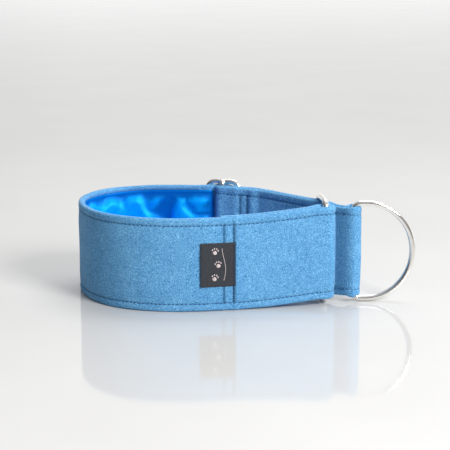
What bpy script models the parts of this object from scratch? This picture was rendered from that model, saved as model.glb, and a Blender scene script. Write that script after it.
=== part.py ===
"""Martingale dog collar of 50 mm band, standing on its lower edge.

One long sewn strap makes the whole collar. Its front end is folded round the near bar of a
rectangular slip ring and sewn down. From there the padded, satin-lined neck band goes round to
the slide adjuster. Beyond the adjuster the strap is plain: it goes through the slip ring, round
the bar of the leash ring, back through the slip ring, and its end is sewn round the middle bar
of the adjuster.

A place on the collar is given as a station, the distance along the outer face of the strap from
the ring end, and an offset, the distance outwards from that face. The frame has X along the
collar towards the leash ring, Z up, and its origin at the middle of the footprint.
"""

import math

import bmesh
import bpy
from mathutils import Vector

MM = 0.001

# Strap
BAND_WIDTH = 50.0
NECK_THICKNESS = 3.4
RING_END_THICKNESS = 3.2
CONTROL_THICKNESS = 2.2
HEM_THICKNESS = 2.0
COVER_THICKNESS = 0.5
LIP_WIDTH = 2.6
LINING_THICKNESS = 0.5
WEBBING_WIDTH = 45.0
LAYER_GAP = 0.15
LEAF_GAP = 0.3

# Metal fittings
RING_WIRE = 3.3
RING_INNER_HEIGHT = 50.4
SLIP_RING_SPACING = 20.6
SLIP_RING_DIRECTION = 98.0
SLIP_RING_CORNER = 2.2
LEASH_RING_HEIGHT = 55.4
LEASH_RING_DEPTH = 35.05
LEASH_RING_LEG = 7.0
LEASH_RING_CORNER = 1.9
LEASH_LOOP_WIDTH = 48.2
ADJUSTER_WIRE = 3.0
ADJUSTER_LENGTH = 22.0
ADJUSTER_INNER_HEIGHT = 51.0
ADJUSTER_CORNER = 6.0

# Seen from above: stretches of the strap's outer face, as length and turn to the left in degrees
START = (48.56, -27.43)
START_HEADING = 190.0
ROUTE = (
    (66.0, 0.0),  # front, straight
    (33.5, -19.5),  # front, easing round
    (45.0, -53.5),  # front left bend
    (26.0, -26.5),  # left end
    (36.5, -74.0),  # back left bend
    (19.5, -29.5),  # back, easing round
    (50.9, 0.0),  # back, straight through the adjuster
    (13.0, -30.0),  # bend beside the adjuster
    (54.2, 0.0),  # doubled strap, straight through the slip ring
    (4.2, 43.0),  # turn towards the leash ring
    (8.0, 0.0),  # loop of the leash ring
)
NECK_START = 58.3
ADJUSTER_STATION = 267.2
WOVEN_REACH = 12.5
LEASH_BAR_STATION = 353.6
LEASH_LOOP_REACH = 8.6
RING_BAR_STATION = 5.0
FOLD_BACK_END = 61.5
FOLD_BACK_EASE = 11.0
HEM_REACH = 20.0
HEM_EASE = 9.0
HEM_STEP = 5.0
HEM_CLEAR = 1.2
CROWN_INSET = 1.2
TAPER_REACH = 16.0

# Height of the strap's lower edge above the table
RAISED = 3.5
LOOP_RAISED = 3.6
FRONT_RAISE_START = 11.0
FRONT_RAISE_END = 62.0
BACK_RAISE_START = 175.0

# Stitching and label
STITCH_INSET = 4.0
THREAD_WIDTH = 0.4
THREAD_PROUD = 0.25
THREAD_CLEAR = 0.05
RING_END_SEAMS = (55.2, 60.5)
HEM_SEAMS = (11.9, 17.6)
LABEL_STATIONS = (54.4, 73.0)
LABEL_HEIGHTS = (13.4, 36.9)
LABEL_DEPTHS = (-0.95, -0.35)

# Mesh fineness
TURN_STEP = 6.0
FOLD_STEPS = 10
LONGEST_STEP = 14.0


def clear_scene():
    for leftover in list(bpy.data.objects):
        bpy.data.objects.remove(leftover, do_unlink=True)


def ease(x):
    """0 to 1, with no slope at either end."""
    x = min(max(x, 0.0), 1.0)
    return x * x * (3.0 - 2.0 * x)


# ---------------------------------------------------------------- the route of the strap


def route_place(station):
    """The point of the strap's outer face at a station, and the heading there in radians."""
    x, y = START
    heading = math.radians(START_HEADING)
    left = station
    for length, turn in ROUTE:
        part = min(max(left, 0.0), length)
        bend = math.radians(turn) * part / length
        chord = part
        if abs(bend) > 1e-9:
            chord = 2.0 * part / bend * math.sin(bend / 2.0)
        x += chord * math.cos(heading + bend / 2.0)
        y += chord * math.sin(heading + bend / 2.0)
        heading += bend
        left -= length
        if left <= 0.0:
            break
    else:
        x += left * math.cos(heading)
        y += left * math.sin(heading)
    return x, y, heading


def plan_point(station, offset):
    x, y, heading = route_place(station)
    return Vector((x - offset * math.sin(heading), y + offset * math.cos(heading)))


def route_stations(first, last):
    """Stations between two, close together where the strap bends."""
    stops = {first, last}
    begin = 0.0
    for length, turn in ROUTE:
        count = max(math.ceil(abs(turn) / TURN_STEP), math.ceil(length / LONGEST_STEP))
        for i in range(count + 1):
            stops.add(begin + length * i / count)
        begin += length
    kept = sorted(s for s in stops if first <= s <= last)
    return [s for i, s in enumerate(kept) if i == 0 or s - kept[i - 1] > 0.4 or s == last]


def lower_edge(station):
    """Height of the strap's lower edge: the rings hold it off the table."""
    lowered = (station - FRONT_RAISE_START) / (FRONT_RAISE_END - FRONT_RAISE_START)
    front = (1.0 - min(max(lowered, 0.0), 1.0)) ** 2
    back = ease((station - BACK_RAISE_START) / (ADJUSTER_STATION - BACK_RAISE_START))
    into_loop = ease((station - (LEASH_BAR_STATION - TAPER_REACH)) / TAPER_REACH)
    return RAISED * min(1.0, front + back) + (LOOP_RAISED - RAISED) * into_loop


def strap_width(station):
    """The strap narrows a little between the corners of the leash ring."""
    into_loop = ease((station - (LEASH_BAR_STATION - TAPER_REACH)) / TAPER_REACH)
    return BAND_WIDTH + (LEASH_LOOP_WIDTH - BAND_WIDTH) * into_loop


# ---------------------------------------------------------------- solids


def material(name, color, roughness, metallic=0.0):
    made = bpy.data.materials.new(name)
    made.use_nodes = True
    shader = made.node_tree.nodes["Principled BSDF"]
    shader.inputs["Base Color"].default_value = (*color, 1.0)
    shader.inputs["Roughness"].default_value = roughness
    shader.inputs["Metallic"].default_value = metallic
    made.diffuse_color = (*color, 1.0)
    return made


def body(name, station=0.0, offset=0.0):
    """An empty on a joint's axis, which the body's pieces are parented to."""
    empty = bpy.data.objects.new(name, None)
    empty.location = plan_point(station, offset).to_3d() * MM
    bpy.context.scene.collection.objects.link(empty)
    return empty


def put(name, data, parent, finish):
    piece = bpy.data.objects.new(name, data)
    piece.parent = parent
    data.materials.append(finish)
    bpy.context.scene.collection.objects.link(piece)
    return piece


def sweep(name, places, outline, parent, finish, hole=None):
    """A solid along a line of the strap's face, given as (station, offset) places.

    The outline, and the hole that runs through the solid if there is one, are (depth, height)
    points: depth into the strap from its face, height from its lower edge.
    """
    line = [plan_point(*place) for place in places]
    mesh = bmesh.new()
    sections = []
    for i, (station, _) in enumerate(places):
        before = line[max(i - 1, 0)]
        after = line[min(i + 1, len(line) - 1)]
        along = (after - before).normalized()
        if 0 < i < len(line) - 1:
            first = (line[i] - before).normalized()
            second = (after - line[i]).normalized()
            along = (first + second).normalized()
            stretch = 1.0 / max(along.dot(second), 0.5)
        else:
            stretch = 1.0
        inwards = Vector((along.y, -along.x)) * stretch
        scale = strap_width(station) / BAND_WIDTH
        loops = []
        for loop in (outline, hole or ()):
            ring = []
            for depth, height in loop:
                spot = line[i] + inwards * depth
                level = lower_edge(station) + height * scale
                where = Vector((spot.x, spot.y, level)) * MM - parent.location
                ring.append(mesh.verts.new(where))
            loops.append(ring)
        sections.append(loops)
    for one, two in zip(sections, sections[1:]):
        for a, b in zip(one, two):
            for k in range(len(a)):
                m = (k + 1) % len(a)
                mesh.faces.new((a[k], a[m], b[m], b[k]))
    for outer, inner in (sections[0], sections[-1]):
        if inner:
            for k in range(len(outer)):
                m = (k + 1) % len(outer)
                mesh.faces.new((outer[k], outer[m], inner[m], inner[k]))
        else:
            mesh.faces.new(outer)
    bmesh.ops.recalc_face_normals(mesh, faces=mesh.faces)
    data = bpy.data.meshes.new(name)
    mesh.to_mesh(data)
    mesh.free()
    data.shade_smooth()
    data.set_sharp_from_angle(angle=math.radians(35.0))
    return put(name, data, parent, finish)


def rectangle(near, far, low, high):
    return [(near, low), (near, high), (far, high), (far, low)]


def sleeve(name, places, thickness, parent, finish):
    """A strap cover that is closed all round its webbing."""
    skin = COVER_THICKNESS
    outer = rectangle(0.0, thickness, 0.0, BAND_WIDTH)
    inner = rectangle(skin, thickness - skin, skin, BAND_WIDTH - skin)
    return sweep(name, places, outer, parent, finish, inner)


def strap_webbing(name, places, thickness, parent, finish):
    """The webbing inside a sleeve."""
    skin = COVER_THICKNESS + LAYER_GAP
    edge = (BAND_WIDTH - WEBBING_WIDTH) / 2.0
    outline = rectangle(skin, thickness - skin, edge, BAND_WIDTH - edge)
    return sweep(name, places, outline, parent, finish)


def thread(name, places, low, high, parent, finish):
    outline = rectangle(-THREAD_PROUD, -THREAD_CLEAR, low, high)
    return sweep(name, places, outline, parent, finish)


def wire(name, points, diameter, parent, finish, closed=True):
    """A round wire along points given in the world frame."""
    data = bpy.data.curves.new(name, "CURVE")
    data.dimensions = "3D"
    data.bevel_depth = diameter / 2.0 * MM
    data.bevel_resolution = 3
    data.use_fill_caps = not closed
    spline = data.splines.new("POLY")
    spline.points.add(len(points) - 1)
    for target, point in zip(spline.points, points):
        target.co = (*(Vector(point) * MM - parent.location), 1.0)
    spline.use_cyclic_u = closed
    spline.use_smooth = True
    return put(name, data, parent, finish)


def arc(center, radius, start, end, steps):
    """Points on an arc, angles in degrees; the radius may differ across and up."""
    across, up = radius if isinstance(radius, tuple) else (radius, radius)
    points = []
    for i in range(steps + 1):
        angle = math.radians(start + (end - start) * i / steps)
        points.append((center[0] + across * math.cos(angle), center[1] + up * math.sin(angle)))
    return points


def rounded_frame(length, height, corner):
    """Corner arcs of an upright rectangle, from its lower left corner on."""
    outline = []
    outline += arc((corner, corner), corner, 270.0, 180.0, 5)
    outline += arc((corner, height - corner), corner, 180.0, 90.0, 5)
    outline += arc((length - corner, height - corner), corner, 90.0, 0.0, 5)
    outline += arc((length - corner, corner), corner, 0.0, -90.0, 5)
    return outline


def upright(outline, foot, direction, level):
    """An outline of (along, up) set upright over a plan point, along a direction in radians."""
    along = Vector((math.cos(direction), math.sin(direction)))
    return [(*(foot + along * a), level + up) for a, up in outline]


# ---------------------------------------------------------------- the strap's folds


def ring_end_places():
    """Suede face of the front end: back leaf, fold round the ring's bar, front leaf."""
    middle = -RING_END_THICKNESS - LAYER_GAP - RING_WIRE / 2.0
    radius = -middle
    leaf = NECK_THICKNESS + LEAF_GAP + RING_END_THICKNESS
    deep = radius - middle
    back = []
    for station in reversed(route_stations(RING_BAR_STATION, FOLD_BACK_END)):
        rise = 1.0 - ease((station - RING_BAR_STATION) / FOLD_BACK_EASE)
        back.append((station, -leaf - (deep - leaf) * rise))
    for i in range(1, 5):
        station = RING_BAR_STATION + FOLD_BACK_EASE * i / 5
        rise = 1.0 - ease(i / 5)
        back.append((station, -leaf - (deep - leaf) * rise))
    back.sort(reverse=True)
    fold = arc((RING_BAR_STATION, middle), radius, 270.0, 90.0, FOLD_STEPS)
    front = [(s, 0.0) for s in route_stations(RING_BAR_STATION, NECK_START - LEAF_GAP)]
    return back[:-1] + fold + front[1:]


def leash_loop_places():
    """Suede face of the loop round the leash ring's bar, from the outer leaf to the inner one."""
    middle = -CONTROL_THICKNESS - LEAF_GAP / 2.0
    radius = RING_WIRE / 2.0 + LAYER_GAP + CONTROL_THICKNESS
    spread = radius + middle
    steps = 5
    out = []
    for i in range(steps):
        share = i / steps
        out.append((LEASH_BAR_STATION - LEASH_LOOP_REACH * (1.0 - share), spread * ease(share)))
    fold = arc((LEASH_BAR_STATION, middle), radius, 90.0, -90.0, FOLD_STEPS)
    back = [(s, 2.0 * middle - n) for s, n in reversed(out)]
    return out + fold + back


def inner_run_places():
    """Suede face of the inner leaf of the control strap, from the leash loop to the hem."""
    flat = -2.0 * CONTROL_THICKNESS - LEAF_GAP
    hem_end = ADJUSTER_STATION + HEM_REACH + LEAF_GAP
    step_start = hem_end + HEM_CLEAR
    places = []
    for station in route_stations(hem_end, LEASH_BAR_STATION - LEASH_LOOP_REACH - LEAF_GAP):
        rise = 1.0 - ease((station - step_start) / HEM_STEP)
        places.append((station, flat - (HEM_THICKNESS + LAYER_GAP) * rise))
    for i in range(4):
        station = step_start + HEM_STEP * i / 4
        rise = 1.0 - ease(i / 4)
        places.append((station, flat - (HEM_THICKNESS + LAYER_GAP) * rise))
    return sorted(set(places), reverse=True)


def adjuster_plane():
    """Offset of the adjuster's frame, which lies on the outer side of the strap."""
    return ADJUSTER_WIRE / 2.0 + LEAF_GAP + 0.1


def middle_bar_offset():
    """The middle bar is welded across the neck side of the adjuster's rails."""
    return adjuster_plane() - ADJUSTER_WIRE - LAYER_GAP


def hem_places():
    """Suede face of the hem: neck-side leaf, fold round the middle bar, hidden tail."""
    middle = middle_bar_offset()
    radius = ADJUSTER_WIRE / 2.0 + LAYER_GAP + HEM_THICKNESS
    half = HEM_THICKNESS + LAYER_GAP / 2.0
    deep = -CONTROL_THICKNESS - LEAF_GAP - HEM_THICKNESS - LAYER_GAP / 2.0
    stations = [HEM_EASE * i / 6 for i in range(1, 7)] + [12.5, 17.0, HEM_REACH]
    neck_side = []
    tail = []
    for reach in stations:
        center = middle + (deep - middle) * ease(reach / HEM_EASE)
        spread = radius + (half - radius) * ease(reach / (0.8 * HEM_EASE))
        neck_side.append((ADJUSTER_STATION + reach, center - spread))
        tail.append((ADJUSTER_STATION + reach, center + spread))
    fold = arc((ADJUSTER_STATION, middle), radius, 270.0, 90.0, FOLD_STEPS)
    return neck_side[::-1] + fold + tail


def woven_places():
    """Outer face of the strap where it passes under the adjuster's frame, over its middle bar."""
    radius = ADJUSTER_WIRE / 2.0 + LAYER_GAP + HEM_THICKNESS
    crown = middle_bar_offset() + radius + LEAF_GAP + CONTROL_THICKNESS
    places = []
    steps = 16
    for i in range(steps + 1):
        reach = WOVEN_REACH * (2.0 * i / steps - 1.0)
        share = min(abs(reach) / (ADJUSTER_LENGTH / 2.0 - CROWN_INSET), 1.0)
        places.append((ADJUSTER_STATION + reach, crown * math.cos(share * math.pi / 2.0) ** 2))
    return places


# ---------------------------------------------------------------- the collar


def neck_band(root, finish):
    neck_end = ADJUSTER_STATION - WOVEN_REACH - LEAF_GAP
    neck = [(s, 0.0) for s in route_stations(NECK_START, neck_end)]
    skin = COVER_THICKNESS
    deep = NECK_THICKNESS
    top = BAND_WIDTH
    channel = [
        (0.0, 0.0),
        (0.0, top),
        (deep, top),
        (deep, top - LIP_WIDTH),
        (deep - skin, top - LIP_WIDTH),
        (deep - skin, top - skin),
        (skin, top - skin),
        (skin, skin),
        (deep - skin, skin),
        (deep - skin, LIP_WIDTH),
        (deep, LIP_WIDTH),
        (deep, 0.0),
    ]
    sweep("neck_cover", neck, channel, root, finish["suede"])
    edge = (BAND_WIDTH - WEBBING_WIDTH) / 2.0
    webbing_back = skin + LAYER_GAP + 1.0
    padding_front = webbing_back + LAYER_GAP
    lining_front = deep - LINING_THICKNESS
    padding_back = lining_front - LAYER_GAP
    webbing = rectangle(skin + LAYER_GAP, webbing_back, edge, top - edge)
    padding = rectangle(padding_front, padding_back, edge + 0.6, top - edge - 0.6)
    rim = LIP_WIDTH + LAYER_GAP
    lining = rectangle(lining_front, deep, rim, top - rim)
    sweep("neck_webbing", neck, webbing, root, finish["webbing"])
    sweep("neck_padding", neck, padding, root, finish["foam"])
    sweep("neck_lining", neck, lining, root, finish["satin"])


def ring_end(root, finish):
    sleeve("ring_end_cover", ring_end_places(), RING_END_THICKNESS, root, finish["suede"])
    strap_webbing("ring_end_webbing", ring_end_places(), RING_END_THICKNESS, root, finish["webbing"])
    for side, station in zip(("right", "left"), RING_END_SEAMS):
        spots = [(station - THREAD_WIDTH / 2, 0.0), (station + THREAD_WIDTH / 2, 0.0)]
        low = STITCH_INSET + THREAD_WIDTH
        high = BAND_WIDTH - low
        thread("ring_end_seam_" + side, spots, low, high, root, finish["thread"])
    face = [(s, 0.0) for s in route_stations(*LABEL_STATIONS)]
    sweep("woven_label", face, rectangle(*LABEL_DEPTHS, *LABEL_HEIGHTS), root, finish["label"])


def edge_stitching(root, finish):
    neck_end = ADJUSTER_STATION - WOVEN_REACH - LEAF_GAP
    face = [(s, 0.0) for s in route_stations(RING_BAR_STATION + 1.0, neck_end)]
    half = THREAD_WIDTH / 2.0
    for name, level in (("lower", STITCH_INSET), ("upper", BAND_WIDTH - STITCH_INSET)):
        thread("edge_stitch_" + name, face, level - half, level + half, root, finish["thread"])


def slip_ring(parent, finish):
    length = SLIP_RING_SPACING
    height = RING_INNER_HEIGHT + RING_WIRE
    outline = rounded_frame(length, height, SLIP_RING_CORNER)
    foot = Vector(parent.location[:2]) / MM
    points = upright(outline, foot, math.radians(SLIP_RING_DIRECTION), RING_WIRE / 2.0)
    wire("slip_ring", points, RING_WIRE, parent, finish["metal"])


def control_strap(parent, finish):
    outer_start = ADJUSTER_STATION + WOVEN_REACH + LEAF_GAP
    outer_end = LEASH_BAR_STATION - LEASH_LOOP_REACH - LEAF_GAP
    outer = [(s, 0.0) for s in route_stations(outer_start, outer_end)]
    runs = {
        "control_outer": outer,
        "control_inner": inner_run_places(),
        "leash_loop": leash_loop_places(),
    }
    for name, places in runs.items():
        sleeve(name + "_cover", places, CONTROL_THICKNESS, parent, finish["suede"])
        strap_webbing(name + "_webbing", places, CONTROL_THICKNESS, parent, finish["webbing"])


def leash_ring(parent, finish):
    half = (LEASH_RING_HEIGHT - RING_WIRE) / 2.0
    corner = LEASH_RING_CORNER
    across = LEASH_RING_DEPTH - RING_WIRE - LEASH_RING_LEG
    outline = []
    outline += arc((corner, corner - half), corner, 270.0, 180.0, 5)
    outline += arc((corner, half - corner), corner, 180.0, 90.0, 5)
    outline += arc((LEASH_RING_LEG, 0.0), (across, half), 90.0, -90.0, 32)
    outline = [(a, up + half) for a, up in outline]
    foot = Vector(parent.location[:2]) / MM
    heading = route_place(LEASH_BAR_STATION)[2]
    points = upright(outline, foot, heading, RING_WIRE / 2.0)
    wire("leash_ring", points, RING_WIRE, parent, finish["metal"])


def slide_adjuster(parent, finish):
    heading = route_place(ADJUSTER_STATION)[2]
    length = ADJUSTER_LENGTH - ADJUSTER_WIRE
    height = ADJUSTER_INNER_HEIGHT + ADJUSTER_WIRE
    foot = plan_point(ADJUSTER_STATION - length / 2.0, adjuster_plane())
    outline = rounded_frame(length, height, ADJUSTER_CORNER - ADJUSTER_WIRE / 2.0)
    frame = upright(outline, foot, heading, ADJUSTER_WIRE / 2.0)
    wire("adjuster_frame", frame, ADJUSTER_WIRE, parent, finish["metal"])
    bar = plan_point(ADJUSTER_STATION, middle_bar_offset())
    overlap = 0.4
    ends = [(*bar, overlap), (*bar, height + ADJUSTER_WIRE - overlap)]
    wire("adjuster_bar", ends, ADJUSTER_WIRE, parent, finish["metal"], closed=False)
    runs = {
        "woven": (woven_places(), CONTROL_THICKNESS),
        "hem": (hem_places(), HEM_THICKNESS),
    }
    for name, (places, thickness) in runs.items():
        sleeve(name + "_cover", places, thickness, parent, finish["suede"])
        strap_webbing(name + "_webbing", places, thickness, parent, finish["webbing"])
    depth = 2.0 * HEM_THICKNESS + CONTROL_THICKNESS + LAYER_GAP + LEAF_GAP
    low = STITCH_INSET
    for side, reach in zip(("left", "right"), HEM_SEAMS):
        station = ADJUSTER_STATION + reach
        half = THREAD_WIDTH / 2.0
        spots = [(station + half, -depth), (station - half, -depth)]
        thread("hem_seam_" + side, spots, low, BAND_WIDTH - low, parent, finish["thread"])


def main():
    clear_scene()
    finish = {
        "suede": material("suede cover", (0.18, 0.43, 0.72), 0.9),
        "satin": material("satin lining", (0.0, 0.22, 0.85), 0.3),
        "webbing": material("webbing", (0.03, 0.04, 0.08), 0.8),
        "foam": material("foam padding", (0.75, 0.75, 0.72), 0.95),
        "label": material("woven label", (0.05, 0.05, 0.06), 0.75),
        "thread": material("thread", (0.02, 0.10, 0.30), 0.6),
        "metal": material("nickel plated steel", (0.75, 0.74, 0.72), 0.18, 1.0),
    }
    root = body("neck_band")
    root.location = (0.0, 0.0, 0.0)
    ring_pivot = -RING_END_THICKNESS - LAYER_GAP - RING_WIRE / 2.0
    ring_body = body("slip_ring_body", RING_BAR_STATION, ring_pivot)
    strap_body = body("control_strap_body", LEASH_BAR_STATION - LEASH_LOOP_REACH)
    leash_pivot = -CONTROL_THICKNESS - LEAF_GAP / 2.0
    leash_body = body("leash_ring_body", LEASH_BAR_STATION, leash_pivot)
    adjuster_body = body("slide_adjuster_body", ADJUSTER_STATION)
    bpy.context.view_layer.update()
    ring_end(root, finish)
    neck_band(root, finish)
    edge_stitching(root, finish)
    slip_ring(ring_body, finish)
    control_strap(strap_body, finish)
    leash_ring(leash_body, finish)
    slide_adjuster(adjuster_body, finish)


main()
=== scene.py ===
"""The looks of the martingale collar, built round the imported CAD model.

Lengths are in millimetres until a vertex is made. A strap is described by the same route as the
CAD: a station is the distance along the outer face of the strap from the ring end, and an offset
is the distance outwards from that face. A strap's own run, depth and height are the distance
along it, into it from its suede face, and up from its lower edge.
"""

import math

import bmesh
import bpy
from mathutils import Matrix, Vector, noise


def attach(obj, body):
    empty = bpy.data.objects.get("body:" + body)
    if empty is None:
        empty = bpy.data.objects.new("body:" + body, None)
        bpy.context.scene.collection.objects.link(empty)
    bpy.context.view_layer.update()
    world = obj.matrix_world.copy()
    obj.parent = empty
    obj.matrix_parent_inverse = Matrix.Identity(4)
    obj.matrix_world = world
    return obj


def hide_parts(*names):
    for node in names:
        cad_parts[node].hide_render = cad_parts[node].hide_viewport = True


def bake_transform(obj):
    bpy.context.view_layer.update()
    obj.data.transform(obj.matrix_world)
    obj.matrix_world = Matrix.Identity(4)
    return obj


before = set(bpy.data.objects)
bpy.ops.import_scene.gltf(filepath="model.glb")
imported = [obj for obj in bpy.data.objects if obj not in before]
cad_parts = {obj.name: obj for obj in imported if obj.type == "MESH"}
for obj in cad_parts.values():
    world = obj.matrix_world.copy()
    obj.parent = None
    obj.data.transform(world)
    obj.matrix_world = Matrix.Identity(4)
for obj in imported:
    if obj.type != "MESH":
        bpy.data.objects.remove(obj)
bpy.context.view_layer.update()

MM = 0.001

# Strap, as in the CAD
BAND_WIDTH = 50.0
NECK_THICKNESS = 3.4
RING_END_THICKNESS = 3.2
CONTROL_THICKNESS = 2.2
HEM_THICKNESS = 2.0
LAYER_GAP = 0.15
LEAF_GAP = 0.3
START = (48.56, -27.43)
START_HEADING = 190.0
ROUTE = (
    (66.0, 0.0),
    (33.5, -19.5),
    (45.0, -53.5),
    (26.0, -26.5),
    (36.5, -74.0),
    (19.5, -29.5),
    (50.9, 0.0),
    (13.0, -30.0),
    (54.2, 0.0),
    (4.2, 43.0),
    (8.0, 0.0),
)
ADJUSTER_STATION = 267.2
WOVEN_REACH = 12.5
LEASH_BAR_STATION = 353.6
LEASH_LOOP_REACH = 8.6
LEASH_LOOP_WIDTH = 48.2
RING_BAR_STATION = 5.0
FOLD_BACK_END = 61.5
FOLD_BACK_EASE = 11.0
HEM_REACH = 20.0
HEM_EASE = 9.0
HEM_STEP = 5.0
CROWN_INSET = 1.2
TAPER_REACH = 16.0
RAISED = 3.5
LOOP_RAISED = 3.6
FRONT_RAISE_START = 11.0
FRONT_RAISE_END = 62.0
BACK_RAISE_START = 175.0
RING_WIRE = 3.3
RING_INNER_HEIGHT = 50.4
SLIP_RING_SPACING = 20.6
SLIP_RING_DIRECTION = 98.0
LEASH_RING_HEIGHT = 55.4
LEASH_RING_DEPTH = 35.05
LEASH_RING_LEG = 7.0
ADJUSTER_WIRE = 3.0
ADJUSTER_LENGTH = 22.0
ADJUSTER_INNER_HEIGHT = 51.0

# Corner radii of the rings' center lines
SLIP_RING_CORNERS = (4.2, 6.5)
LEASH_RING_CORNER = 4.4
ADJUSTER_CORNER = 5.5
ADJUSTER_BAR_BEND = 1.5

# Sewing
STITCH_INSET = 4.0
STITCH_PITCH = 2.3
STITCH_SINK = 0.3 * MM
EDGE_SEAMS = (STITCH_INSET, BAND_WIDTH - STITCH_INSET)
SEAM_RIGHT = 55.2
SEAM_LEFT = 60.5
HEM_SEAMS = (11.9, 17.6)
NECK_END = ADJUSTER_STATION - WOVEN_REACH
NECK_CUT = 226.0

# The leash loop: fuller at its bar, and pressed in beside it
LOOP_BULGE_HEIGHT = 0.8
LOOP_BULGE_WIDTH = 2.6
LOOP_VALLEY = LEASH_BAR_STATION - 6.2
LOOP_VALLEY_DEPTH = 0.9
LOOP_VALLEY_WIDTH = 2.2
# Painted shade in the valley beside the loop, where the band's end shades it
LOOP_SHADE = 0.75
LOOP_SHADE_WIDTH = 2.3

# Spans of pieces between two bodies, in y and in stations
NECK_BLEND = (-31.0, 29.0)
NECK_END_BLEND = (NECK_CUT + 1.0, NECK_END - 3.0)
CONTROL_BLEND = (ADJUSTER_STATION + 12.5, ADJUSTER_STATION + 31.0)

# Mesh fineness
ROW_SPACING = 0.75
CONTROL_ROW_SPACING = 0.7
FINE_STEP = 0.5
FOLD_STEPS = 40
CORNER_STEPS = 12
BOW_STEPS = 96


def ease(x):
    """0 to 1, with no slope at either end."""
    x = min(max(x, 0.0), 1.0)
    return x * x * (3.0 - 2.0 * x)


def bump_at(distance, width):
    """1 at no distance, falling to 0 over about twice the width."""
    return math.exp(-((distance / width) ** 2))


# ---------------- the route of the strap


def route_place(station):
    """The point of the strap's outer face at a station, and the heading there in radians."""
    x, y = START
    heading = math.radians(START_HEADING)
    left = station
    for length, turn in ROUTE:
        part = min(max(left, 0.0), length)
        bend = math.radians(turn) * part / length
        chord = part
        if abs(bend) > 1e-9:
            chord = 2.0 * part / bend * math.sin(bend / 2.0)
        x += chord * math.cos(heading + bend / 2.0)
        y += chord * math.sin(heading + bend / 2.0)
        heading += bend
        left -= length
        if left <= 0.0:
            break
    else:
        x += left * math.cos(heading)
        y += left * math.sin(heading)
    return x, y, heading


def plan_point(station, offset):
    """The place on the table below a point of the strap."""
    x, y, heading = route_place(station)
    return Vector((x - offset * math.sin(heading), y + offset * math.cos(heading)))


def stations(first, last, step=FINE_STEP):
    """Evenly spaced stations with both ends in."""
    count = max(1, round(abs(last - first) / step))
    return [first + (last - first) * i / count for i in range(count + 1)]


def into_loop(station):
    """0 to 1: how far the strap has narrowed towards the leash ring's bar."""
    return ease((station - (LEASH_BAR_STATION - TAPER_REACH)) / TAPER_REACH)


def lower_edge(station):
    """Height of the strap's lower edge: the rings hold it off the table."""
    lowered = (station - FRONT_RAISE_START) / (FRONT_RAISE_END - FRONT_RAISE_START)
    front = (1.0 - min(max(lowered, 0.0), 1.0)) ** 2
    back = ease((station - BACK_RAISE_START) / (ADJUSTER_STATION - BACK_RAISE_START))
    return RAISED * min(1.0, front + back) + (LOOP_RAISED - RAISED) * into_loop(station)


def world_point(station, offset, height):
    """The world point at a height over the strap's lower edge."""
    spot = plan_point(station, offset)
    return Vector((spot.x, spot.y, lower_edge(station) + height)) * MM


def arc(center, radius, start, end, steps):
    """Points on an arc between two angles in degrees."""
    points = []
    for i in range(steps + 1):
        angle = math.radians(start + (end - start) * i / steps)
        points.append((center[0] + radius * math.cos(angle), center[1] + radius * math.sin(angle)))
    return points


class Strap:
    """A strap along a line of its suede face, given as (station, offset)."""

    def __init__(self, places, spacing=ROW_SPACING):
        line = [plan_point(*place) for place in places]
        runs = [0.0]
        for a, b in zip(line, line[1:]):
            runs.append(runs[-1] + (b - a).length)
        self.length = runs[-1]
        count = max(2, round(self.length / spacing))
        self.runs = [self.length * i / count for i in range(count + 1)]
        self.points = []
        self.stations = []
        k = 0
        for run in self.runs:
            while k < len(runs) - 2 and runs[k + 1] < run:
                k += 1
            share = (run - runs[k]) / max(runs[k + 1] - runs[k], 1e-9)
            self.points.append(line[k].lerp(line[k + 1], share))
            self.stations.append(places[k][0] + (places[k + 1][0] - places[k][0]) * share)
        self.inwards = []
        for i in range(count + 1):
            along = (self.points[min(i + 1, count)] - self.points[max(i - 1, 0)]).normalized()
            self.inwards.append(Vector((along.y, -along.x)))

    def place(self, row, depth, height):
        """The world point at a row of the strap."""
        spot = self.points[row] + self.inwards[row] * depth
        station = self.stations[row]
        scale = 1.0 + (LEASH_LOOP_WIDTH / BAND_WIDTH - 1.0) * into_loop(station)
        return Vector((spot.x, spot.y, lower_edge(station) + height * scale)) * MM

    def spot(self, run, depth, height):
        """The world point at any run along the strap."""
        share = min(max(run / self.length, 0.0), 1.0) * (len(self.runs) - 1)
        row = min(int(share), len(self.runs) - 2)
        here = self.place(row, depth, height)
        return here.lerp(self.place(row + 1, depth, height), share - row)

    def run_at(self, station, after=0.0):
        """The first run past a given one where the strap reaches the station."""
        for i in range(len(self.runs) - 1):
            a, b = self.stations[i], self.stations[i + 1]
            if self.runs[i] >= after and min(a, b) <= station <= max(a, b):
                gap = self.runs[i + 1] - self.runs[i]
                return self.runs[i] + gap * (station - a) / ((b - a) or 1.0)
        return self.length


# ---------------- the strap's folds


def ring_end_places():
    """Front end: back leaf, fold round the slip ring's bar, front leaf."""
    middle = -RING_END_THICKNESS - LAYER_GAP - RING_WIRE / 2.0
    radius = -middle
    leaf = NECK_THICKNESS + LEAF_GAP + RING_END_THICKNESS
    deep = radius - middle
    back = []
    for station in stations(FOLD_BACK_END, RING_BAR_STATION):
        rise = 1.0 - ease((station - RING_BAR_STATION) / FOLD_BACK_EASE)
        back.append((station, -leaf - (deep - leaf) * rise))
    fold = arc((RING_BAR_STATION, middle), radius, 270.0, 90.0, FOLD_STEPS)
    front = [(s, 0.0) for s in stations(RING_BAR_STATION, SEAM_RIGHT)]
    return back[:-1] + fold + front[1:]


def adjuster_plane():
    """Offset of the middle of the adjuster's frame."""
    return ADJUSTER_WIRE / 2.0 + LEAF_GAP + 0.1


def middle_bar_offset():
    """Offset of the adjuster's middle bar, which lies behind its frame."""
    return adjuster_plane() - ADJUSTER_WIRE - LAYER_GAP


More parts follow.
